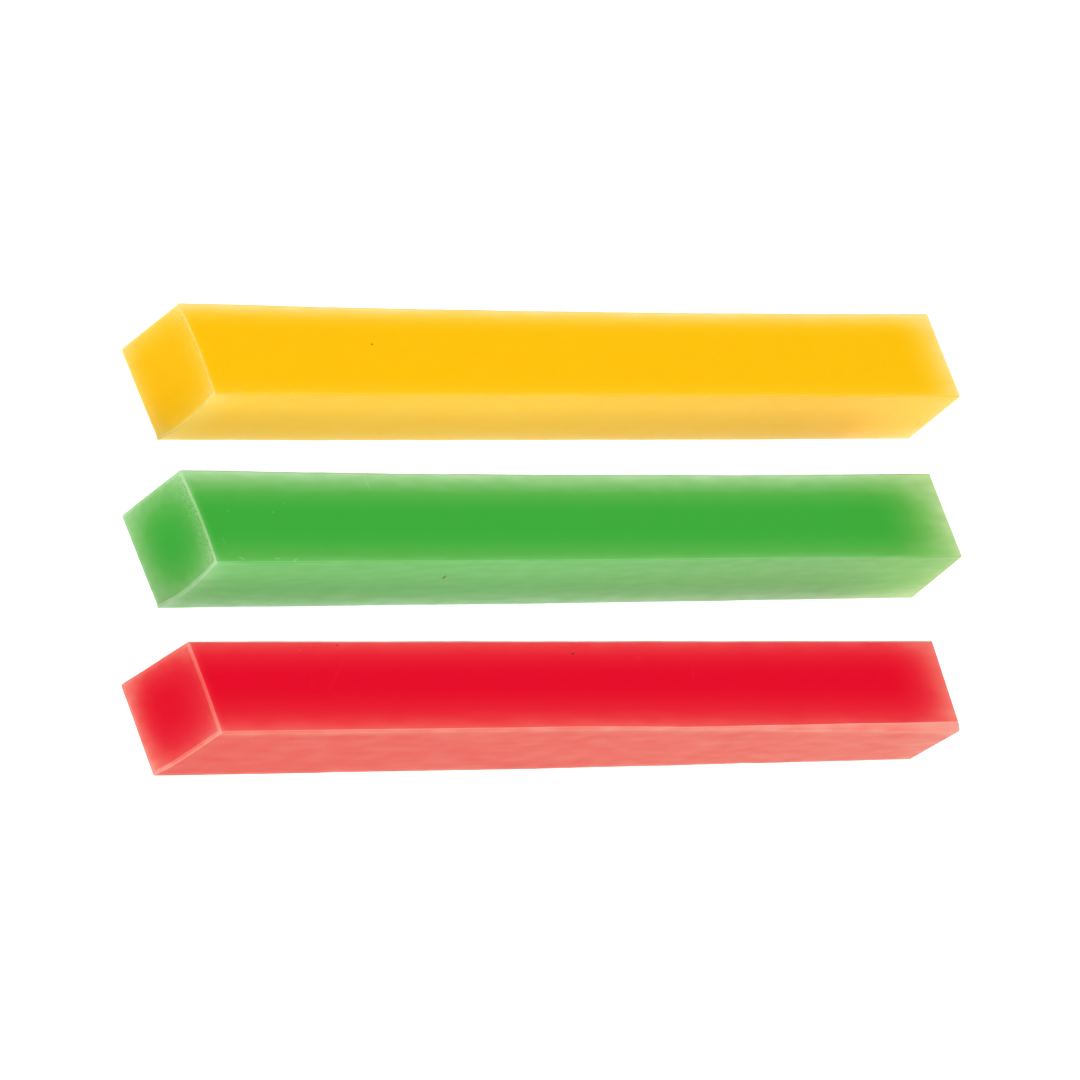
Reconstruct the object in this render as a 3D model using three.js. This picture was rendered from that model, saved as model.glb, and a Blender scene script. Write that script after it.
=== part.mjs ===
// A set of three loose sanding sticks: square bars of translucent, rubbery bonded abrasive, one
// colour for each grade, lying side by side. Each stick is one solid piece, cut from a cast slab,
// so it tapers a little, its sides draw in and bow, and its ends are a few degrees out of square.
//
// Millimetres, +Z up. The sticks lie along X with z = 0 on the bench. The origin is the middle of
// the green stick's resting face.

import * as THREE from "three";

// Layout on the bench
const PITCH = 18.7; // across, from one stick's centreline to the next
const STAGGER = 6.7; // each stick lies this much further along +X than the one in front of it

// Form that the sticks share
const EDGE_RADIUS = 0.2; // the long edges are crisp, with only a trace of a round
const EDGE_SEGMENTS = 3;
const LENGTH_STEPS = 24; // rows of vertices along a stick, which carry its bow and waist
const SURFACE = { roughness: 0.45, metalness: 0 };

// Each stick's own sizes. "near" is its end at -X and "far" its end at +X. An end cut's skew turns
// it about Z and its lean draws its top edge in over the stick, both in degrees. The bow is how far
// the middle stands out towards -Y, and the waist how much narrower the middle is.
const STICKS = [
  {
    name: "yellow_stick",
    colour: "#fdc20c",
    place: [STAGGER, PITCH],
    yaw: 0.2,
    length: 101,
    near: { width: 10.2, height: 10.2, skew: 6, lean: 1.5 },
    far: { width: 9.9, height: 10.1, skew: 4, lean: 4.5 },
    bow: 0.2,
    waist: 0.25,
  },
  {
    name: "green_stick",
    colour: "#41af3c",
    place: [0, 0],
    yaw: 0,
    length: 100,
    near: { width: 10.2, height: 10.2, skew: 6, lean: 1.5 },
    far: { width: 9.8, height: 10, skew: 4, lean: 5.5 },
    bow: 0.2,
    waist: 0.25,
  },
  {
    name: "red_stick",
    colour: "#e5152f",
    place: [-STAGGER, -PITCH],
    yaw: -0.5,
    length: 98.5,
    near: { width: 9.9, height: 9.9, skew: 4.5, lean: 9 },
    far: { width: 9.6, height: 9.6, skew: 0, lean: 6 },
    bow: 0,
    waist: 0,
  },
];

// The section is drawn across the stick and upwards, and extruded along it.
const ALONG = new THREE.Vector3(1, 0, 0);
const ACROSS = new THREE.Vector3(0, 1, 0);
const UP = new THREE.Vector3(0, 0, 1);
const TO_BENCH = new THREE.Matrix4().makeBasis(ACROSS, UP, ALONG);

// A square section with its foot on the bench and its four corners just rounded.
function section({ width, height }) {
  const inside = width / 2 - EDGE_RADIUS;
  const top = height - EDGE_RADIUS;
  const corners = [
    [inside, EDGE_RADIUS],
    [inside, top],
    [-inside, top],
    [-inside, EDGE_RADIUS],
  ];
  const shape = new THREE.Shape();
  corners.forEach(([across, up], corner) => {
    const start = (corner - 1) * (Math.PI / 2);
    shape.absarc(across, up, EDGE_RADIUS, start, start + Math.PI / 2, false);
  });
  return shape;
}

// How far an end cut moves a point along the stick, at a place across and up its end face.
function cutShift(end, across, up, leanSign) {
  const skewShift = Math.tan(THREE.MathUtils.degToRad(end.skew)) * across;
  const leanShift = Math.tan(THREE.MathUtils.degToRad(end.lean)) * (up - end.height / 2);
  return leanSign * leanShift - skewShift;
}

// Moves a straight bar's vertices to the stick's taper, waist, bow and end cuts.
function shapeBar(bar, { length, near, far, bow, waist }) {
  const points = bar.getAttribute("position");
  const point = new THREE.Vector3();
  for (let i = 0; i < points.count; i++) {
    point.fromBufferAttribute(points, i);
    const share = point.x / length; // 0 at the near end, 1 at the far end
    const swell = 4 * share * (1 - share); // 0 at both ends, 1 in the middle
    const width = THREE.MathUtils.lerp(near.width, far.width, share) - waist * swell;
    const height = THREE.MathUtils.lerp(near.height, far.height, share);
    const across = (point.y * width) / near.width;
    const up = (point.z * height) / near.height;
    const nearX = -length / 2 + cutShift(near, across, up, 1);
    const farX = length / 2 + cutShift(far, across, up, -1);
    points.setXYZ(i, THREE.MathUtils.lerp(nearX, farX, share), across - bow * swell, up);
  }
  bar.computeVertexNormals();
}

function makeStick(stick) {
  const bar = new THREE.ExtrudeGeometry(section(stick.near), {
    depth: stick.length,
    steps: LENGTH_STEPS,
    curveSegments: EDGE_SEGMENTS,
    bevelEnabled: false,
  });
  bar.applyMatrix4(TO_BENCH);
  shapeBar(bar, stick);
  const mesh = new THREE.Mesh(bar, new THREE.MeshStandardMaterial({ color: stick.colour, ...SURFACE }));
  mesh.name = stick.name;
  mesh.position.set(...stick.place, 0);
  mesh.rotation.z = THREE.MathUtils.degToRad(stick.yaw);
  return mesh;
}

const sandingSticks = new THREE.Group();
STICKS.forEach((stick) => sandingSticks.add(makeStick(stick)));

export default sandingSticks;
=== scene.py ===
# %% [markdown]
# # A set of sanding sticks
# Loose square bars of rubbery bonded abrasive lie side by side: yellow, green and red, one colour
# for each grade. A bar is fine abrasive grain in a milky, see-into elastomer. It is cast as a slab
# and sliced, so its top is a smooth cast skin, its long sides carry the fine drag lines of the
# saw, and its ends are knife cuts, a little out of square.
#
# The CAD model already says where each bar lies and how big it is. This script keeps that frame
# and models each bar again, finely, with the marks of its making, with painted glow at the edges
# and with painted shade that evens out the light. Everything is in metres, in the CAD model's own
# frame.

# %% Load the frame
import math

import bmesh
import bpy
from mathutils import Matrix, Quaternion, Vector


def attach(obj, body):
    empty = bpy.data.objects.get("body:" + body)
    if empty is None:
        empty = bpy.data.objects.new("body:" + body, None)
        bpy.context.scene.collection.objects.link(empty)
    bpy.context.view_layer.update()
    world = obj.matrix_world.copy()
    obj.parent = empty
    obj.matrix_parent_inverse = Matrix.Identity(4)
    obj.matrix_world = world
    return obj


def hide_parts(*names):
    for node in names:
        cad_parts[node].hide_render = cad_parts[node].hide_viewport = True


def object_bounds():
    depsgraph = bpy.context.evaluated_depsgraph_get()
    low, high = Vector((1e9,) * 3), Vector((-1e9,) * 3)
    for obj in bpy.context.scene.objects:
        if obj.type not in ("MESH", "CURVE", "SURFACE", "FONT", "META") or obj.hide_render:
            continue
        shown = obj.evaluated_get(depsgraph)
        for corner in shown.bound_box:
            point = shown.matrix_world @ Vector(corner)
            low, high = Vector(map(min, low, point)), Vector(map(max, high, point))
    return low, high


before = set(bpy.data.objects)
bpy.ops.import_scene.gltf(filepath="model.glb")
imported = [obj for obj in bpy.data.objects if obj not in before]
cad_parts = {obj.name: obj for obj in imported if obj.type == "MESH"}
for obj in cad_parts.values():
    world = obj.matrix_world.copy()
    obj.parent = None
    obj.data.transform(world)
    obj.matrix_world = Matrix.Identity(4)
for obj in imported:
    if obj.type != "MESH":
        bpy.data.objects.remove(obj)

MM = 0.001

cad_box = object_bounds()
print("CAD bars:", sorted(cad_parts), "box in mm:", [[round(x / MM, 1) for x in c] for c in cad_box])

# %% [markdown]
# ## The camera
# A long lens from well back keeps the bars' edges nearly parallel. The camera is set by two
# angles, a distance and a point to look at, as one would on a tripod head, and then rolled
# until the bars lie level in the picture. The point to look at is worked out from the CAD box.

# %% Camera
VIEW_AZIMUTH = -62.35
VIEW_ELEVATION = 43.63
VIEW_ROLL = 52.5
VIEW_DISTANCE = 0.9154
LENS_MM = 300
SENSOR_MM = 36
LOOK_AT_NUDGE = Vector((-2.9, -0.2, -0.1)) * MM

lowest, highest = (Vector(corner) for corner in cad_box)
look_at = (lowest + highest) / 2 + LOOK_AT_NUDGE


def from_angles(azimuth, elevation, distance):
    """The point at a distance from the origin, at an azimuth from -Y and a height angle."""
    turn, rise = math.radians(azimuth), math.radians(elevation)
    level = distance * math.cos(rise)
    return Vector((level * math.sin(turn), -level * math.cos(turn), distance * math.sin(rise)))


stand = from_angles(VIEW_AZIMUTH, VIEW_ELEVATION, VIEW_DISTANCE)
aim = (-stand).to_track_quat("-Z", "Y") @ Quaternion((0, 0, 1), math.radians(VIEW_ROLL))
lens = bpy.data.cameras.new("camera")
lens.lens = LENS_MM
lens.sensor_width = SENSOR_MM
camera = bpy.data.objects.new("camera", lens)
camera.location = look_at + stand
camera.rotation_euler = aim.to_euler()
bpy.context.scene.collection.objects.link(camera)
bpy.context.scene.camera = camera
print("camera at", [round(x, 3) for x in camera.location], "looking at", [round(x, 4) for x in look_at])

# %% [markdown]
# ## The light
# The bars are shown as in a light tent: white all round, so that no face is dark and the colour
# of the bars does the work. Many small lamps could do this, but each would leave its own shadow.
# So one broad soft box stands before the bars and a weaker, low one behind, which fills the top
# back edges, and an even white sky does the rest. "Standard" colour keeps strong colours as they
# are, where the default view would bleach them.

# %% Lamps
SOFT_BOX = {"azimuth": -14, "elevation": 42, "distance": 1.4, "size": 1.5, "power": 25}
BACK_BOX = {"azimuth": 165, "elevation": 12, "distance": 1.4, "size": 0.9, "power": 10}


def add_lamp(name, azimuth, elevation, distance, size, power):
    """A square soft box that faces the bars, with sizes in metres and power in watts."""
    light = bpy.data.lights.new(name, "AREA")
    light.size = size
    light.energy = power
    lamp = bpy.data.objects.new(name, light)
    lamp.location = from_angles(azimuth, elevation, distance)
    lamp.rotation_euler = (-lamp.location).to_track_quat("-Z", "Y").to_euler()
    bpy.context.scene.collection.objects.link(lamp)


add_lamp("soft_box", **SOFT_BOX)
add_lamp("back_box", **BACK_BOX)
bpy.context.scene.view_settings.view_transform = "Standard"
print("lamps and their watts:", {light.name: light.energy for light in bpy.data.lights})

# %% Sky
SKY_STRENGTH = 0.4
WHITE = (1, 1, 1, 1)

world = bpy.data.worlds.new("sky")
world.use_nodes = True
sky = world.node_tree.nodes["Background"]
sky.inputs["Color"].default_value = WHITE
sky.inputs["Strength"].default_value = SKY_STRENGTH
bpy.context.scene.world = world
print("white sky of strength", SKY_STRENGTH)

# %% [markdown]
# ## The bench
# A white sheet would do for a bench, but the bars would darken it between them. This one is a
# light table: a sheet of opal acrylic, lit faintly from below, which keeps those shadows thin. It
# lies a hair below the bars, so that no two faces share a plane. Its colour, like every colour
# here, is written as an sRGB hex value, and one function turns it linear, as shaders need it.

# %% Bench
FLOOR_SIZE = 6.0
FLOOR_DROP = 0.05 * MM
OPAL = "#a4a4a4"
OPAL_ROUGHNESS = 0.9
TABLE_GLOW = 1.0


def linear(hex_colour):
    """A linear RGBA colour from an sRGB hex one."""
    shares = [int(hex_colour[i:i + 2], 16) / 255 for i in (1, 3, 5)]
    curved = [s / 12.92 if s <= 0.04045 else ((s + 0.055) / 1.055) ** 2.4 for s in shares]
    return (*curved, 1.0)


bpy.ops.mesh.primitive_plane_add(size=FLOOR_SIZE, location=(0, 0, -FLOOR_DROP))
floor = bpy.context.object
floor.name = "floor"
# Opal acrylic, matt: it scatters so much that it shows only an even, pale glow.
opal = bpy.data.materials.new("opal_acrylic_light_table")
opal.use_nodes = True
opal_shader = opal.node_tree.nodes["Principled BSDF"]
opal_shader.inputs["Base Color"].default_value = linear(OPAL)
opal_shader.inputs["Roughness"].default_value = OPAL_ROUGHNESS
opal_shader.inputs["Emission Color"].default_value = WHITE
opal_shader.inputs["Emission Strength"].default_value = TABLE_GLOW
floor.data.materials.append(opal)
print("light table of", FLOOR_SIZE, "m, opal colour", [round(c, 3) for c in linear(OPAL)])

# %% [markdown]
# ## The bars' sizes
# These repeat the CAD model's driving sizes, in millimetres and degrees. Each bar has a section
# at its near end, towards -X, and another at its far end, and each end's cut is skewed about Z
# and leans. The last rows are the making's own marks: how deep the knife dished the near end at
# its top and its front edge, how round the long edges are, how wide a rim the knife left and how
# long a tip, and how far the red bar's far end was pulled out of square, at its top and its foot.

# %% Sizes of the bars
STICKS = {
    "yellow_stick": {
        "place": (6.7, 18.7), "yaw": 0.2, "length": 101, "bow": 0.2, "waist": 0.25,
        "near": {"width": 10.2, "height": 10.2, "skew": 6, "lean": 1.5},
        "far": {"width": 9.9, "height": 10.1, "skew": 4, "lean": 4.5},
        "dish_top": 0.3, "dish_front": 0.85, "edge_round": 0.15,
        "rim": 0.2, "tip": 0.1, "flare": (0, 0),
    },
    "green_stick": {
        "place": (0, 0), "yaw": 0, "length": 100, "bow": 0.2, "waist": 0.25,
        "near": {"width": 10.2, "height": 10.2, "skew": 6, "lean": 1.5},
        "far": {"width": 9.8, "height": 10, "skew": 4, "lean": 5.5},
        "dish_top": 0.3, "dish_front": 0.8, "edge_round": 0.15,
        "rim": 0.2, "tip": 0.08, "flare": (0, 0),
    },
    "red_stick": {
        "place": (-6.7, -18.7), "yaw": -0.5, "length": 98.5, "bow": 0, "waist": 0,
        "near": {"width": 9.9, "height": 9.9, "skew": 4.5, "lean": 9},
        "far": {"width": 9.6, "height": 9.6, "skew": 0, "lean": 6},
        "dish_top": 0.1, "dish_front": 0.35, "edge_round": 0.2,
        "rim": 0.24, "tip": 0, "flare": (0.75, -0.35),
    },
}


def box_size(stick):
    """The length, width and height of the straight bar that a stick starts from."""
    return (stick["length"], stick["near"]["width"], stick["near"]["height"])


print("straight bars in mm:", {name: box_size(stick) for name, stick in STICKS.items()})

# %% [markdown]
# ## A straight bar first
# The form could be drawn as one mesh from formulas, but a maker starts from a straight bar and
# spoils it, and so does this. A cube is added at the bar's size. Its edges are then cut into a
# fine, even grid, one direction at a time: cutting only the edges that run one way splits the
# faces into clean strips. The fine grid lets the later steps bend the bar and mark it.

# %% Straight bars
# Each row is an axis and the cells that its edges are cut into. The length is cut twice, to 200.
GRID_CUTS = ((0, 10), (0, 20), (1, 20), (2, 20))
RUNS_ALONG = 0.99


def pick(bar, kind, test):
    """Selects only the bar's vertices, edges or faces that pass a test, in edit mode."""
    bpy.ops.mesh.select_mode(type=kind)
    bpy.ops.mesh.select_all(action="DESELECT")
    mesh = bmesh.from_edit_mesh(bar.data)
    for part in {"VERT": mesh.verts, "EDGE": mesh.edges, "FACE": mesh.faces}[kind]:
        if test(part):
            part.select_set(True)
    mesh.select_flush_mode()
    bmesh.update_edit_mesh(bar.data)


def cut_grid(bar, axis, cells):
    """Cuts every edge that runs along an axis into equal cells."""
    def runs_along(edge):
        return abs((edge.verts[1].co - edge.verts[0].co).normalized()[axis]) > RUNS_ALONG

    pick(bar, "EDGE", runs_along)
    bpy.ops.mesh.subdivide(number_cuts=cells - 1)


def straight_bar(name, size):
    """A finely gridded box of a size in millimetres, with its foot on the bench."""
    bpy.ops.object.select_all(action="DESELECT")
    bpy.ops.mesh.primitive_cube_add(size=1, location=(0, 0, size[2] / 2 * MM))
    bar = bpy.context.object
    bar.name = name
    bar.data.name = name
    bar.scale = Vector(size) * MM
    bpy.ops.object.transform_apply(location=True, rotation=True, scale=True)
    bpy.ops.object.mode_set(mode="EDIT")
    for axis, cells in GRID_CUTS:
        cut_grid(bar, axis, cells)
    bpy.ops.object.mode_set(mode="OBJECT")
    return bar


bars = {
    name: straight_bar(name.replace("_stick", "_abrasive_bar"), box_size(stick))
    for name, stick in STICKS.items()
}
print("straight bars:", {name: len(bar.data.polygons) for name, bar in bars.items()}, "faces")

# %% [markdown]
# ## Crisp edges
# Elastomer cuts crisp, so the long edges get only a trace of a round. A Bevel modifier would round
# them too, but the operator does it before the bar is bent, while its edges are easy to find: only
# they are sharp.

# %% Round the edges
EDGE_SEGMENTS = 3
SHARP = math.radians(45)


def take_up(bar):
    """Makes the bar the one selected and active object."""
    bpy.ops.object.select_all(action="DESELECT")
    bar.select_set(True)
    bpy.context.view_layer.objects.active = bar


def round_edges(width):
    """Bevels the box's outer edges by a width in millimetres."""
    bpy.ops.mesh.select_mode(type="EDGE")
    bpy.ops.mesh.select_all(action="DESELECT")
    bpy.ops.mesh.edges_select_sharp(sharpness=SHARP)
    bpy.ops.mesh.bevel(offset=width * MM, segments=EDGE_SEGMENTS, affect="EDGES")


for name, bar in bars.items():
    take_up(bar)
    bpy.ops.object.mode_set(mode="EDIT")
    round_edges(STICKS[name]["edge_round"])
    bpy.ops.object.mode_set(mode="OBJECT")
    print(name, "has edges rounded by", STICKS[name]["edge_round"], "mm,", len(bar.data.polygons), "faces")

# %% [markdown]
# ## The knife's rim and burr
# The knife drags a thin standing rim round the near end. Bump in the finish could hint at it, but
# it catches the light on its corners, so it is real: the end's face is inset by the rim's width
# and pushed in a touch. Where the knife breaks out at the front foot corner it leaves a small
# pointed burr, and that corner's vertices are pulled out to make it.

# %% Rim and burr
RIM_HEIGHT = 0.07 * MM
BURR_REACH = 0.3 * MM
BURR_SIDEWAYS = 1 / 3
FACES_END = 0.99
ON_FACE = 0.01 * MM


def raise_rim(bar, size, width):
    """Insets the near end's face and pushes it in, which leaves a rim standing round it."""
    face_x = -size[0] / 2 * MM

    def on_near_end(face):
        return face.normal.x < -FACES_END and abs(face.calc_center_median().x - face_x) < ON_FACE

    pick(bar, "FACE", on_near_end)
    bpy.ops.mesh.inset(thickness=width * MM, depth=-RIM_HEIGHT)


def pull_burr(bar, size, tip):
    """Pulls the near end's front foot corner out to a point."""
    corner = Vector((-size[0] / 2, -size[1] / 2, 0)) * MM
    pick(bar, "VERT", lambda vert: (vert.co - corner).length < BURR_REACH)
    bpy.ops.transform.translate(value=(-tip * MM, -tip * BURR_SIDEWAYS * MM, 0))


for name, bar in bars.items():
    stick = STICKS[name]
    take_up(bar)
    bpy.ops.object.mode_set(mode="EDIT")
    raise_rim(bar, box_size(stick), stick["rim"])
    if stick["tip"]:
        pull_burr(bar, box_size(stick), stick["tip"])
    bpy.ops.object.mode_set(mode="OBJECT")
    print(name, "has a rim", stick["rim"], "mm wide and a burr of", stick["tip"], "mm")

# %% [markdown]
# ## The red bar's sawn-off ridge
# Towards its far end the red bar's front top edge is cut away in a sliver that starts at nothing
# in mid-length. A Boolean could cut it, but would leave long thin faces that bend badly. Here a
# bisect along one slanted plane scores two clean edges into the grid; its threshold is small, or
# it would skip the cells that the plane only grazes. What stands outside the plane is then scaled
# to nothing across it, which lays it flat on the cut and keeps the grid's neat faces.

# %% Ridge cut
RIDGE_CUT_TOP = 0.95
RIDGE_CUT_FRONT = 0.4
BISECT_THRESHOLD = 0.001 * MM


def cut_ridge(bar, size):
    """Cuts a sliver off the front top edge of the bar's far half."""
    start = Vector((0, -size[1] / 2, size[2])) * MM
    on_top = Vector((size[0] / 2, -size[1] / 2 + RIDGE_CUT_TOP, size[2])) * MM
    on_front = Vector((size[0] / 2, -size[1] / 2, size[2] - RIDGE_CUT_FRONT)) * MM
    outward = (on_front - start).cross(on_top - start).normalized()
    bpy.ops.mesh.select_all(action="SELECT")
    bpy.ops.mesh.bisect(plane_co=start, plane_no=outward, threshold=BISECT_THRESHOLD)
    pick(bar, "VERT", lambda vert: (vert.co - start).dot(outward) > 0)
    across_plane = outward.to_track_quat("Z", "X").to_matrix()
    bpy.ops.transform.resize(value=(1, 1, 0), orient_type="GLOBAL", orient_matrix=across_plane,
                             orient_matrix_type="GLOBAL", center_override=start)


red_bar = bars["red_stick"]
take_up(red_bar)
bpy.ops.object.mode_set(mode="EDIT")
cut_ridge(red_bar, box_size(STICKS["red_stick"]))
bpy.ops.object.mode_set(mode="OBJECT")
print("ridge cut: the red bar now has", len(red_bar.data.polygons), "faces")

# %% [markdown]
# ## Remember the straight bar
# The painted edge glow has to know how far a point is from each edge, and the bar is about to be
# bent. Object coordinates would no longer say. So each vertex keeps its place on the straight bar
# as an attribute, in millimetres from the near end, the front side and the foot, and each face
# keeps the way it faced. A face that leans out to the side even a little was opened by the saw, so
# it counts as a side.

# %% Places on the straight bar
PLACE = "bar_place"
TURN = "bar_turn"
SIDE_LEAN = 0.2
SIDEWAYS = Vector((0, 1, 0))


def faced(normal):
    """The way a face counts as facing: a leaning one between top and side is a side."""
    if abs(normal.y) > SIDE_LEAN and abs(normal.x) < SIDE_LEAN:
        return SIDEWAYS
    return normal


def keep_places(bar, size):
    """Stores each vertex's place and each face's normal on the straight bar."""
    corner = Vector((-size[0] / 2, -size[1] / 2, 0))
    places = [c for vert in bar.data.vertices for c in (vert.co / MM - corner)]
    turns = [c for face in bar.data.polygons for c in faced(face.normal)]
    bar.data.attributes.new(PLACE, "FLOAT_VECTOR", "POINT").data.foreach_set("vector", places)
    bar.data.attributes.new(TURN, "FLOAT_VECTOR", "FACE").data.foreach_set("vector", turns)


for name, bar in bars.items():
    keep_places(bar, box_size(STICKS[name]))
    print(name, "remembers", len(bar.data.vertices), "places and", len(bar.data.polygons), "turns")

# %% [markdown]
# ## Bend it with a cage
# A lattice is a cage of points round the bar, and the bar follows as the points move. One cage
# gives the taper, the waist and bow of the long sides, the skewed and leaning cuts, the flare
# of the red bar's far end, and the shallow dish that the knife leaves in the near end. Each could
# be a modifier of its own, but one formula for a point is easier to read and to check.

# %% The form of a bar
DISH_RISE = 0.65


def mix(a, b, share):
    """A value between a and b."""
    return a + (b - a) * share


def cut_shift(end, across, up, lean_sign):
    """How far an end cut moves a point along the bar, at a place across and up its face."""
    skew = math.tan(math.radians(end["skew"])) * across
    lean = math.tan(math.radians(end["lean"])) * (up - end["height"] / 2)
    return lean_sign * lean - skew


def dish(stick, across_share, up_share):
    """How deep the knife dished the near end, at shares of its width and height."""
    from_top = stick["dish_top"] * up_share**2 * math.sin(math.pi * across_share)
    from_front = stick["dish_front"] * (1 - across_share) ** 2 * math.sin(math.pi * up_share**DISH_RISE)
    return from_top + from_front


def bar_form(stick, along, across_share, up_share):
    """Where a point of the straight bar, given as shares of its size, goes on the real one."""
    near, far = stick["near"], stick["far"]
    swell = 4 * along * (1 - along)
    width = mix(near["width"], far["width"], along) - stick["waist"] * swell
    across = (across_share - 0.5) * width
    up = up_share * mix(near["height"], far["height"], along)
    near_x = -stick["length"] / 2 + cut_shift(near, across, up, 1) + dish(stick, across_share, up_share)
    far_x = stick["length"] / 2 + cut_shift(far, across, up, -1)
    flare_top, flare_foot = stick["flare"]
    flare = mix(flare_foot, flare_top, up_share) * max(0, 2 * along - 1) * (1 - across_share) ** 2
    point = Vector((mix(near_x, far_x, along), across - stick["bow"] * swell - flare, up))
    turn = Matrix.Rotation(math.radians(stick["yaw"]), 3, "Z")
    return (turn @ point + Vector((*stick["place"], 0))) * MM


for name, stick in STICKS.items():
    print(name, "goes from", [round(c / MM, 2) for c in bar_form(stick, 0, 0.5, 0)], "to",
          [round(c / MM, 2) for c in bar_form(stick, 1, 0.5, 0)], "mm along its foot")

# %% Cage
CAGE_POINTS = (9, 7, 7)


def bend_with_cage(bar, stick, size):
    """Shapes the straight bar to the real one's form."""
    bpy.ops.object.add(type="LATTICE", location=(0, 0, size[2] / 2 * MM))
    cage = bpy.context.object
    cage.scale = Vector(size) * MM
    cage.data.points_u, cage.data.points_v, cage.data.points_w = CAGE_POINTS
    for way in "uvw":
        setattr(cage.data, f"interpolation_type_{way}", "KEY_CARDINAL")
    bpy.context.view_layer.update()
    to_cage = cage.matrix_world.inverted()
    for point in cage.data.points:
        point.co_deform = to_cage @ bar_form(stick, *(c + 0.5 for c in point.co))
    take_up(bar)
    bar.modifiers.new("cage", "LATTICE").object = cage
    bpy.ops.object.modifier_apply(modifier="cage")
    bpy.data.objects.remove(cage)


for name, bar in bars.items():
    bend_with_cage(bar, STICKS[name], box_size(STICKS[name]))
    print(name, "is bent, and measures", [round(c / MM, 2) for c in bar.dimensions], "mm")

# %% [markdown]
# ## The wander of saw and mould
# No face of a soft bar is dead flat. Two displacements along the surface, one slow and one fine,
# move it by a few hundredths of a millimetre, so the edges wander and the light isn't even. This
# could be bump, but then the outlines would stay ruler-straight. The clouds are placed by the
# bar's own place in the set, so no two bars are alike.

# %% Wander
# Each row is the size of the clouds and how far they move the surface, in millimetres.
WANDERS = {"slow": (9, 0.09), "fine": (1.6, 0.03)}


def add_wander(bar):
    """Moves the surface in and out by soft clouds."""
    for name, (size, strength) in WANDERS.items():
        clouds = bpy.data.textures.get(name) or bpy.data.textures.new(name, "CLOUDS")
        clouds.noise_scale = size * MM
        wander = bar.modifiers.new(name, "DISPLACE")
        wander.texture = clouds
        wander.texture_coords = "LOCAL"
        wander.strength = strength * MM
        wander.mid_level = 0.5
        bpy.ops.object.modifier_apply(modifier=name)


for name, bar in bars.items():
    take_up(bar)
    add_wander(bar)
    bpy.ops.object.shade_smooth_by_angle(angle=SHARP)
    print(name, "is finished, and measures", [round(c / MM, 2) for c in bar.dimensions], "mm")

# %% [markdown]
# ## The colour: deep in the middle, painted glow at the edges
# Light soaks into the bar and comes back coloured. Deep inside, all other colours are lost, so
# the middle of a face is strong and clear. Near an edge the light has only a short way to go, so
# it comes out pale: a glow of light, which is painted here into the colour. The sawn sides are
# pale all over, partly from the saw's frosting and partly from painted sheen.
# A volume shader could work this out, but it is slow, and an exported model loses it. So one
# number, the haze, holds all of this: 0 is the clear deep colour and 1 the palest edge, and a
# colour ramp turns the haze to the bar's own colours.

# %% Colours, by haze
# The first stop is each bar's own deep colour; the paler stops serve the painted edge glow and the pale
# marks alike.
PALETTES = {
    "yellow_stick": {
        0.0: "#f8bd00", 0.2: "#fcc31b", 0.4: "#ffc937", 0.6: "#ffd052", 0.8: "#ffd76e", 1.0: "#ffdf89",
    },
    "green_stick": {
        0.0: "#3aa738", 0.25: "#58af4a", 0.5: "#7abd68", 0.75: "#97ca86", 1.0: "#b8daa8",
    },
    "red_stick": {
        0.0: "#df0125", 0.2: "#e21e30", 0.35: "#e5343c", 0.46: "#e84647", 0.62: "#eb6059",
        0.8: "#ef7c6f", 1.0: "#f39b8f",
    },
}


def add_node(tree, kind, inputs=(), **settings):
    """Adds a node, sets its properties, and gives each input a value or a link. An input that is
    given a whole node is linked to the first output that the node has in use."""
    node = tree.nodes.new("ShaderNode" + kind)
    for name, value in settings.items():
        setattr(node, name, value)
    for name, value in inputs.items() if isinstance(inputs, dict) else enumerate(inputs):
        if isinstance(value, bpy.types.Node):
            value = next(output for output in value.outputs if output.enabled)
        if isinstance(value, bpy.types.NodeSocket):
            tree.links.new(value, node.inputs[name])
        else:
            node.inputs[name].default_value = value
    return node


def colour_of(tree, haze, palette):
    """The colour that a palette gives a haze."""
    ramp = add_node(tree, "ValToRGB", [haze])
    stops = ramp.color_ramp.elements
    for at, colour in palette.items():
        stop = stops[0] if at == 0 else stops[-1] if at == 1 else stops.new(at)
        stop.color = linear(colour)
    return ramp


print("stops in each ramp:", {name: len(palette) for name, palette in PALETTES.items()})

# %% [markdown]
# ## Reading the bar
# Three things steer the finish. The stored place says how far along, across and up the straight
# bar a point is. The stored turn, squared, says how much of each kind of face it is on: an end, a
# side, or the top or foot. And the surface's own normal says whether it looks to the front, up or
# out of the near end, also on the rounded edges between faces.

# %% Read the places
FACE_KINDS = ("end", "side", "top")


def read_bar(tree):
    """Where a point is on the straight bar, the kind of face it is on, and where it looks."""
    place = add_node(tree, "Attribute", attribute_name=PLACE).outputs["Vector"]
    turn = add_node(tree, "Attribute", attribute_name=TURN).outputs["Vector"]
    kinds = add_node(tree, "VectorMath", [turn, turn], operation="MULTIPLY")
    looks = add_node(tree, "TexCoord").outputs["Normal"]
    at = {"place": place, "kinds": kinds}
    at.update(zip(("along", "across", "up"), add_node(tree, "SeparateXYZ", [place]).outputs))
    at.update(zip(FACE_KINDS, add_node(tree, "SeparateXYZ", [kinds]).outputs))
    at.update(zip(("look_x", "look_y", "look_z"), add_node(tree, "SeparateXYZ", [looks]).outputs))
    return at


print("attributes that the finish reads:", [
    name for name in bars["red_stick"].data.attributes.keys() if name in (PLACE, TURN)
])
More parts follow.
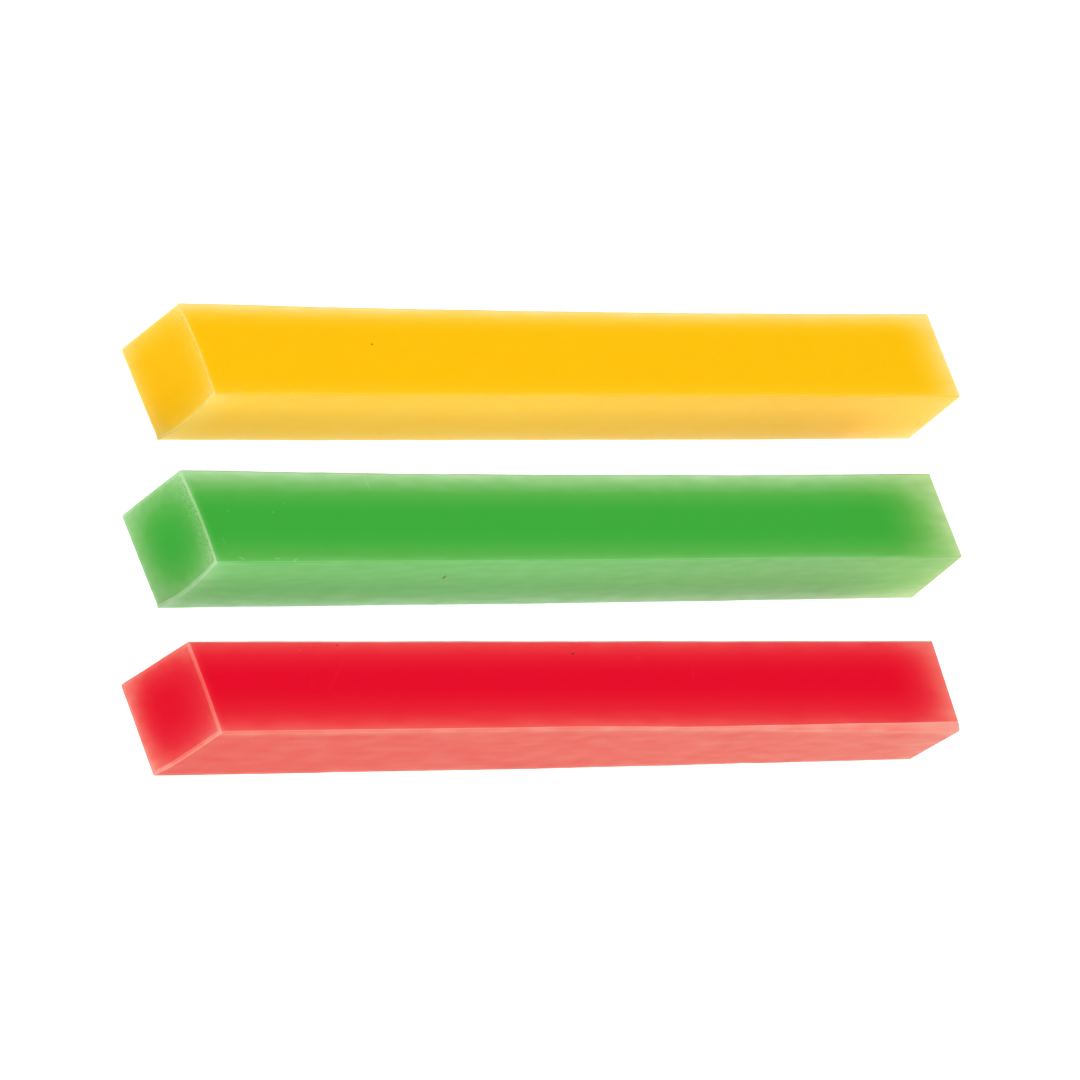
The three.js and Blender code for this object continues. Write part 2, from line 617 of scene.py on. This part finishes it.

# %% [markdown]
# ## Painted glow from the edges
# Each kind of face has its own rows: how much haze an edge gives, and how many millimetres it
# reaches. This edge haze is painted light, the glow that comes out near an edge; on the top it is
# far stronger towards the far end. The haze falls off as the square of what is left of that reach.
# Simply added up, the hazes of two edges would burn out the corner where they meet, so each edge
# instead takes its share of the clear colour that the others leave. The long sides start from a
# haze of their own, from the near end's to the far end's: partly the saw's frosting and partly
# painted sheen.

# %% Table of painted glow and sawn frost
PAINTED_GLOW_AND_FROST = {
    "yellow_stick": {
        "top": {"near": (0.15, 1), "far": (0.95, 6.5), "front": (0.3, 2.2), "back": (1.1, 3)},
        "side": {"near": (0.28, 6), "far": (0.27, 4), "foot": (0.5, 3.5), "ridge": (0.1, 0.6)},
        "end": {"front": (0.55, 3.2), "back": (0.66, 3.3), "foot": (0.75, 3.2), "ridge": (0.34, 3.6)},
        "sawn": (0.47, 0.55),
    },
    "green_stick": {
        "top": {"near": (0.3, 1), "far": (1.0, 11), "front": (0.4, 3.8), "back": (1.0, 4.8)},
        "side": {"near": (0.25, 4), "far": (0.3, 6), "foot": (0.48, 4.5), "ridge": (0.1, 0.6)},
        "end": {"front": (0.55, 5), "back": (0.68, 5), "foot": (0.72, 4.8), "ridge": (0.38, 5.5)},
        "sawn": (0.5, 0.58),
    },
    "red_stick": {
        "top": {"near": (0.3, 1), "far": (0.75, 8), "front": (0.62, 5), "back": (0.56, 4)},
        "side": {"near": (0.05, 2), "far": (0.15, 8), "foot": (0.35, 1.2), "ridge": (0.3, 1.5)},
        "end": {"front": (0.6, 5), "back": (0.62, 4), "foot": (0.9, 4), "ridge": (0.36, 5)},
        "sawn": (0.6, 0.75),
    },
}
print("haze tables for", list(PAINTED_GLOW_AND_FROST))

# %% Painted glow from the edges
LOW_EDGES = ("near", "front", "foot")
HIGH_EDGES = ("far", "back", "ridge")
NO_EDGE = (0, 1)
# The inputs of a Map Range node that works on vectors share their names with its number inputs,
# so they are given by their order.
FROM_MAX, TO_MIN, TO_MAX = 8, 9, 10


def clear_share(tree, distance, edges, names):
    """The share of clear colour that three edges leave."""
    amounts = [-edges.get(name, NO_EDGE)[0] for name in names]
    reaches = [edges.get(name, NO_EDGE)[1] for name in names]
    left = add_node(tree, "MapRange", {
        "Vector": distance, FROM_MAX: reaches, TO_MIN: (1, 1, 1), TO_MAX: (0, 0, 0),
    }, data_type="FLOAT_VECTOR")
    squared = add_node(tree, "VectorMath", [left, left], operation="MULTIPLY")
    clear = add_node(tree, "VectorMath", [squared, amounts, (1, 1, 1)], operation="MULTIPLY_ADD")
    one, two, three = add_node(tree, "SeparateXYZ", [clear]).outputs
    both = add_node(tree, "Math", [two, three], operation="MULTIPLY")
    return add_node(tree, "Math", [one, both], operation="MULTIPLY")


def painted_edge_glow_and_frost(tree, name, size, at):
    """The painted glow of the bar's edges, with the sawn sides' frost and painted sheen."""
    from_high = add_node(tree, "VectorMath", [size, at["place"]], operation="SUBTRACT")
    # The sawn sides' paleness, from the near end's to the far end's: partly frosting, partly painted sheen.
    near_haze, far_haze = PAINTED_GLOW_AND_FROST[name]["sawn"]
    slope = (far_haze - near_haze) / size[0]
    sawn = add_node(tree, "Math", [at["along"], slope, near_haze], operation="MULTIPLY_ADD")
    haze = add_node(tree, "Math", [at["side"], sawn], operation="MULTIPLY")
    for kind in FACE_KINDS:
        low = clear_share(tree, at["place"], PAINTED_GLOW_AND_FROST[name][kind], LOW_EDGES)
        high = clear_share(tree, from_high, PAINTED_GLOW_AND_FROST[name][kind], HIGH_EDGES)
        clear = add_node(tree, "Math", [low, high], operation="MULTIPLY")
        hazed = add_node(tree, "Math", [1.0, clear], operation="SUBTRACT")
        haze = add_node(tree, "Math", [hazed, at[kind], haze], operation="MULTIPLY_ADD")
    return haze


print("edges counted from the low corner:", LOW_EDGES, "and from the high one:", HIGH_EDGES)

# %% [markdown]
# ## The marks of the making
# Drag lines run along the sawn sides: noise squeezed across the bar and stretched along it. The
# colour drifts a little over the cast slab, a grain of abrasive shows everywhere, and clouds
# bloom where the knife pressed. Images could give these, but noise never repeats, and it can be
# laid out in the straight bar's millimetres. The real grain is a few hundredths of a millimetre
# and the real lines a tenth, too fine to show, so both are drawn as coarse as they need to be.

# %% Patterns
PATTERNS = {
    "lines": {"pitch": (45, 0.3, 0.3), "detail": 2, "roughness": 0.6},
    "grain": {"pitch": (0.22, 0.22, 0.22), "detail": 1, "roughness": 0.5},
    "clouds": {"pitch": (0.7, 0.7, 0.7), "detail": 4, "roughness": 0.65},
    "drift": {"pitch": (14, 14 / 3, 14 / 3), "detail": 0, "roughness": 0.5},
}
SEEDS = {"yellow_stick": 1.7, "green_stick": 5.2, "red_stick": 8.9}


def uneven(tree, place, seed, pitch, detail, roughness):
    """A pattern centred on 0, with a pitch in millimetres along, across and up the bar."""
    scaled = add_node(tree, "VectorMath", [place, [1 / p for p in pitch]], operation="MULTIPLY")
    made = add_node(tree, "TexNoise", {
        "Vector": scaled, "W": seed, "Detail": detail, "Roughness": roughness,
    }, noise_dimensions="4D")
    return add_node(tree, "Math", [made, 0.5], operation="SUBTRACT")


print("patterns:", {name: pattern["pitch"] for name, pattern in PATTERNS.items()}, "mm")

# %% [markdown]
# ## What the knife left, and the rim's painted highlight
# The near end carries a cloudy bloom below its top edge, where the knife first pressed and
# bruised the elastomer. The rim round it is painted a little paler than the face: a painted
# highlight, where the rim's edge catches the light. Both are found by how far a point is from the
# top and the front, and show on the end only.

# %% Bloom and rim
BLOOM = {"yellow_stick": 2.2, "green_stick": 1.8, "red_stick": 0.4}
BLOOM_REACH = 3.2
BLOOM_EVEN = 0.08


def knife_bloom(tree, at, clouds, top_gap):
    """Clouds on the near end that fade out below its top edge."""
    left = add_node(tree, "MapRange", {
        "Value": top_gap, "From Max": BLOOM_REACH, "To Min": 1, "To Max": 0,
    }, interpolation_type="SMOOTHSTEP")
    bruised = add_node(tree, "Math", [clouds, BLOOM_EVEN], operation="ADD")
    on_end = add_node(tree, "Math", [at["end"], bruised], operation="MULTIPLY")
    return add_node(tree, "Math", [left, on_end], operation="MULTIPLY")


def rim_highlight(tree, at, top_gap, width):
    """1 on the rim along the near end's top and front edges, where its highlight is painted, and 0
    elsewhere.
    """
    gap = add_node(tree, "Math", [top_gap, at["across"]], operation="MINIMUM")
    within = add_node(tree, "Math", [gap, width], operation="LESS_THAN")
    return add_node(tree, "Math", [within, at["end"]], operation="MULTIPLY")


print("bloom reaches", BLOOM_REACH, "mm down; its strength:", BLOOM)

# %% [markdown]
# ## Flecks, specks, nicks and scratches
# A few pale flecks lie all through the bar: the cells of a Voronoi pattern, cut off close to
# their middles. Other marks are each bar's own: specks of dark grain, nicks along the ridge, and
# scratches. Each is an ellipse at a place on the straight bar, turned about the vertical, with
# half its length and half its width. A Mapping node of the texture kind brings it to a unit
# sphere, so the mark is where the length of the vector is about 1 or less.

# %% Table of marks
# Places and half sizes are in millimetres; the top skin is 10.1 up, near enough for every bar.
TOP = 10.1
NICKS = [
    ((3.3, 0.5, TOP), 150, (0.4, 0.12)), ((7.8, 0.45, TOP), 0, (0.4, 0.1)),
    ((10, 0.3, TOP), 30, (0.4, 0.12)),
]
MARKS = {
    "yellow_stick": {
        "pale": [*NICKS, ((1.6, 2.4, TOP), 90, (0.45, 0.07))],
        "dark": [((22.5, 5.9, TOP), 0, (0.13, 0.1))],
    },
    "green_stick": {
        "pale": [
            *NICKS, ((3.7, 5.7, TOP), 60, (0.25, 0.1)), ((9.3, 5.6, TOP), 0, (0.2, 0.12)),
            ((11.2, 6.6, TOP), 120, (0.2, 0.1)), ((1.8, 2.5, TOP), 90, (0.5, 0.08)),
            ((23, 8.9, TOP), 90, (0.8, 0.06)),
        ],
        "dark": [((31.2, 0, 6.6), 0, (0.13, 0.1))],
    },
    "red_stick": {
        "pale": [
            ((16.5, 5.7, TOP), 43, (2.9, 0.05)), ((13.4, 5.2, TOP), 47, (0.7, 0.05)),
            ((57.1, 7.9, TOP), 20, (0.5, 0.1)), ((63.8, 6.1, TOP), 70, (0.6, 0.1)),
        ],
        "dark": [((48.6, 8.4, TOP), 20, (0.22, 0.13)), ((18.5, 9.4, TOP), 0, (0.16, 0.1))],
    },
}
for name, kinds in MARKS.items():
    print(name, "has", len(kinds["pale"]), "pale marks and", len(kinds["dark"]), "dark specks")

# %% Flecks and marks
FLECK_PITCH = 4.5
FLECK_SIZE = 0.12
MARK_DEPTH = 0.4
MARK_FADE = {"From Min": 1.3, "From Max": 0.4}


def flecks(tree, place, seed):
    """1 in small pale flecks, spread through the bar."""
    spread = add_node(tree, "VectorMath", [place, (1 / FLECK_PITCH,) * 3], operation="MULTIPLY")
    cells = add_node(tree, "TexVoronoi", {"Vector": spread, "W": seed, "Scale": 1},
                     voronoi_dimensions="4D")
    return add_node(tree, "Math", [cells, FLECK_SIZE / FLECK_PITCH], operation="LESS_THAN")


def mark(tree, place, at, turn_by, half_size):
    """1 inside an ellipse at a place on the straight bar, and 0 outside it, with a soft edge."""
    unit = add_node(tree, "Mapping", {
        "Vector": place, "Location": at, "Rotation": (0, 0, math.radians(turn_by)),
        "Scale": (*half_size, MARK_DEPTH),
    }, vector_type="TEXTURE")
    far = add_node(tree, "VectorMath", [unit], operation="LENGTH")
    return add_node(tree, "MapRange", {"Value": far, **MARK_FADE})


print("flecks", FLECK_SIZE, "mm across, about", FLECK_PITCH, "mm apart")

# %% [markdown]
# ## Painted shade on edges that face the light
# Where the front side rolls over into the top, or the near end into its neighbours, the thin edge
# faces the soft box squarely and would burn out. A rounded edge looks two ways at once, so the
# product of the two parts of its normal finds it. The edge gets painted shade: it is kept a little
# clearer and is tinted darker.

# %% Where the surface looks
EDGE_PEAK = 4
BACK_SHARE = 0.5


def look_shares(tree, at):
    """How much a point looks like a side, is on a front ridge, and is on an edge in the light: the masks of
    the painted shade.
    """
    to_front = add_node(tree, "Math", [at["look_y"], -1], operation="MULTIPLY", use_clamp=True)
    two_ways = add_node(tree, "Math", [to_front, at["look_z"]], operation="MULTIPLY")
    squared = add_node(tree, "Math", [two_ways, two_ways], operation="MULTIPLY")
    ridge = add_node(tree, "Math", [squared, EDGE_PEAK], operation="MULTIPLY")
    to_near = add_node(tree, "Math", [at["look_x"], -1], operation="MULTIPLY", use_clamp=True)
    near_part = add_node(tree, "Math", [to_near, to_near], operation="MULTIPLY")
    other_part = add_node(tree, "Math", [1.0, near_part], operation="SUBTRACT")
    both_parts = add_node(tree, "Math", [near_part, other_part], operation="MULTIPLY")
    lit = add_node(tree, "Math", [both_parts, EDGE_PEAK, ridge], operation="MULTIPLY_ADD", use_clamp=True)
    to_back = add_node(tree, "Math", [at["look_y"], BACK_SHARE], operation="MULTIPLY")
    sides = add_node(tree, "Math", [to_front, to_back], operation="MAXIMUM")
    return {"sides": sides, "ridge": ridge, "lit_edge": lit}


print("an edge at 45 degrees gets", EDGE_PEAK * 0.5 * 0.5, "of its tint; backs get", BACK_SHARE, "of theirs")

# %% [markdown]
# ## Painted shade that balances the light
# The bars stand close together and colour each other: a side picks up its neighbour's colour and
# faces the soft box more squarely than the top does. Pale tints, multiplied into the colour, are
# painted shade that takes out what the light and the neighbours add: on the sawn sides from the
# near end to the far one, on the lit edges, and over the last stretch of the green bar, which they
# make a little darker and yellower.

# %% Painted shade tints
PAINTED_SHADE_TINTS = {
    "yellow_stick": {"sides": ("#fff1e2", "#f3e2e1"), "lit_edge": "#e8e8e8", "far_end": "#ffffff"},
    "green_stick": {"sides": ("#e6ffff", "#e8e6e9"), "lit_edge": "#f2f2f2", "far_end": "#fdf9dc"},
    "red_stick": {"sides": ("#d1d5cd", "#d1d5cd"), "lit_edge": "#ffffff", "far_end": "#ffffff"},
}
SIDES_TURN_FROM = 0.42
FAR_END_REACH = 16
# A colour Mix node's inputs share their names with its number inputs, so they go by their order.
FACTOR, MIX_A, MIX_B = 0, 6, 7


def paint_shade_tints(tree, colour, name, length, at, looks):
    """The colour with its bar's tints of painted shade multiplied in."""
    near_tint, far_tint = (linear(tint) for tint in PAINTED_SHADE_TINTS[name]["sides"])
    along = add_node(tree, "MapRange", {
        "Value": at["along"], "From Min": length * SIDES_TURN_FROM, "From Max": length,
    })
    side_tint = add_node(tree, "Mix", {FACTOR: along, MIX_A: near_tint, MIX_B: far_tint}, data_type="RGBA")
    far_share = add_node(tree, "MapRange", {
        "Value": at["along"], "From Min": length - FAR_END_REACH, "From Max": length,
    })
    for share, tint in (
        (looks["sides"], side_tint),
        (looks["lit_edge"], linear(PAINTED_SHADE_TINTS[name]["lit_edge"])),
        (far_share, linear(PAINTED_SHADE_TINTS[name]["far_end"])),
    ):
        colour = add_node(tree, "Mix", {FACTOR: share, MIX_A: colour, MIX_B: tint},
                          data_type="RGBA", blend_type="MULTIPLY")
    return colour


print("tints of the sides, near to far:", {name: tints["sides"] for name, tints in PAINTED_SHADE_TINTS.items()})

# %% [markdown]
# ## The haze, all together
# What adds to the haze is one list, each row a pattern and its amount. The colour drift comes
# first and scales the painted glow of the edges; the painted glow on the rounded edges, the drag
# lines, the grain, the marks of the knife with the rim's painted highlight, the flecks and the nicks
# follow, and painted shade on the front ridge takes a little away.

# %% Haze
DRIFT_AMOUNT = 0.3
ROUND_PAINTED_GLOW = 0.5
LINES_HAZE = 0.14
GRAIN_HAZE = 0.05
RIM_PAINTED_HIGHLIGHT = 0.15
FLECK_HAZE = 0.2
MARK_HAZE = 0.22
RIDGE_PAINTED_SHADE = -0.15


def painted_light_and_marks(tree, name, stick, at, looks, patterns):
    """The haze of a bar, painted light and real marks together: 0 where it is clear and deep, 1 where it is
    palest.
    """
    size = box_size(stick)
    haze = painted_edge_glow_and_frost(tree, name, size, at)
    drift = add_node(tree, "Math", [patterns["drift"], DRIFT_AMOUNT, 1.0], operation="MULTIPLY_ADD")
    haze = add_node(tree, "Math", [haze, drift], operation="MULTIPLY")
    one_way = add_node(tree, "VectorMath", [at["kinds"], at["kinds"]], operation="DOT_PRODUCT")
    rounded = add_node(tree, "Math", [1.0, one_way], operation="SUBTRACT")
    top_gap = add_node(tree, "Math", [size[2], at["up"]], operation="SUBTRACT")
    rows = [
        # Painted glow on the rounded edges.
        (rounded, ROUND_PAINTED_GLOW),
        (patterns["side_lines"], LINES_HAZE),
        (patterns["grain"], GRAIN_HAZE),
        (knife_bloom(tree, at, patterns["clouds"], top_gap), BLOOM[name]),
        # The rim's painted highlight, where its edge catches the light.
        (rim_highlight(tree, at, top_gap, stick["edge_round"] + stick["rim"]), RIM_PAINTED_HIGHLIGHT),
        (flecks(tree, at["place"], SEEDS[name]), FLECK_HAZE),
        *((mark(tree, at["place"], *row), MARK_HAZE) for row in MARKS[name]["pale"]),
        # Painted shade on the front ridge, which faces the soft box.
        (looks["ridge"], RIDGE_PAINTED_SHADE),
    ]
    for pattern, amount in rows:
        haze = add_node(tree, "Math", [pattern, amount, haze], operation="MULTIPLY_ADD")
    return haze


print("haze amounts: rounds", ROUND_PAINTED_GLOW, "lines", LINES_HAZE, "grain", GRAIN_HAZE, "flecks", FLECK_HAZE)

# %% [markdown]
# ## The material
# The real thing is an elastomer, so the roughness starts from rubber's 0.5 and rises and falls
# with the drag lines, the shine is faint, and the IOR stays at its default, which suits rubber.
# Some light really goes under the surface, about a millimetre deep, and red light a little less,
# which softens the bars. The lines, the grain and the bruise of the knife are also felt as relief.

# %% Relief and shine
RELIEF_HEIGHT = 0.06 * MM
RELIEF_STRENGTH = 0.6
LINES_RELIEF = 0.35
BLOOM_RELIEF = 0.5
ROUGHNESS = 0.5
LINES_ROUGHNESS = 0.25
SHINE = 0.05
GLOW_SHARE = 0.3
GLOW_DEPTH = 0.9 * MM
GLOW_BY_COLOUR = (0.6, 1, 1)
SPECK_COLOUR = "#6a1c10"


def relief(tree, name, at, patterns):
    """The relief of the surface, as a bumped normal."""
    height = add_node(tree, "Math", [patterns["side_lines"], LINES_RELIEF, patterns["grain"]],
                      operation="MULTIPLY_ADD")
    bruise = add_node(tree, "Math", [patterns["clouds"], at["end"]], operation="MULTIPLY")
    height = add_node(tree, "Math", [bruise, BLOOM[name] * BLOOM_RELIEF, height], operation="MULTIPLY_ADD")
    return add_node(tree, "Bump", {
        "Height": height, "Strength": RELIEF_STRENGTH, "Distance": RELIEF_HEIGHT,
    })


def abrasive(name, stick):
    """Cast and sliced elastomer-bonded abrasive: clear deep colour, painted glow at the edges, painted
    shade, drag lines.
    """
    material = bpy.data.materials.new(name.replace("_stick", "_bonded_abrasive_cast_and_sliced"))
    material.use_nodes = True
    tree = material.node_tree
    shader = tree.nodes["Principled BSDF"]
    at = read_bar(tree)
    looks = look_shares(tree, at)
    patterns = {
        kind: uneven(tree, at["place"], SEEDS[name], **pattern) for kind, pattern in PATTERNS.items()
    }
    patterns["side_lines"] = add_node(tree, "Math", [patterns["lines"], at["side"]], operation="MULTIPLY")
    haze = painted_light_and_marks(tree, name, stick, at, looks, patterns)
    colour = colour_of(tree, haze, PALETTES[name])
    # Painted shade: tints that offset the light and the neighbours' colour.
    colour = paint_shade_tints(tree, colour, name, stick["length"], at, looks)
    for row in MARKS[name]["dark"]:
        speck = mark(tree, at["place"], *row)
        colour = add_node(tree, "Mix", {FACTOR: speck, MIX_A: colour, MIX_B: linear(SPECK_COLOUR)},
                          data_type="RGBA")
    rough = add_node(tree, "Math", [patterns["lines"], LINES_ROUGHNESS, ROUGHNESS], operation="MULTIPLY_ADD")
    tree.links.new(colour.outputs[2], shader.inputs["Base Color"])
    tree.links.new(rough.outputs[0], shader.inputs["Roughness"])
    tree.links.new(relief(tree, name, at, patterns).outputs[0], shader.inputs["Normal"])
    shader.inputs["Specular IOR Level"].default_value = SHINE
    shader.inputs["Subsurface Weight"].default_value = GLOW_SHARE
    shader.inputs["Subsurface Radius"].default_value = GLOW_BY_COLOUR
    shader.inputs["Subsurface Scale"].default_value = GLOW_DEPTH
    return material


for name, stick in STICKS.items():
    finish = abrasive(name, stick)
    bars[name].data.materials.append(finish)
    print(name, "is finished in", finish.name, "with", len(finish.node_tree.nodes), "nodes")

# %% [markdown]
# ## Fix the bars to the frame
# Each bar takes the place of its CAD bar and rides on that bar's body, so it lifts with it. The
# CAD box and each bar's size are printed along the way.

# %% Fix to the frame
for name, bar in bars.items():
    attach(bar, name)
    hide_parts(name)
    print(bar.name, "rides", name)
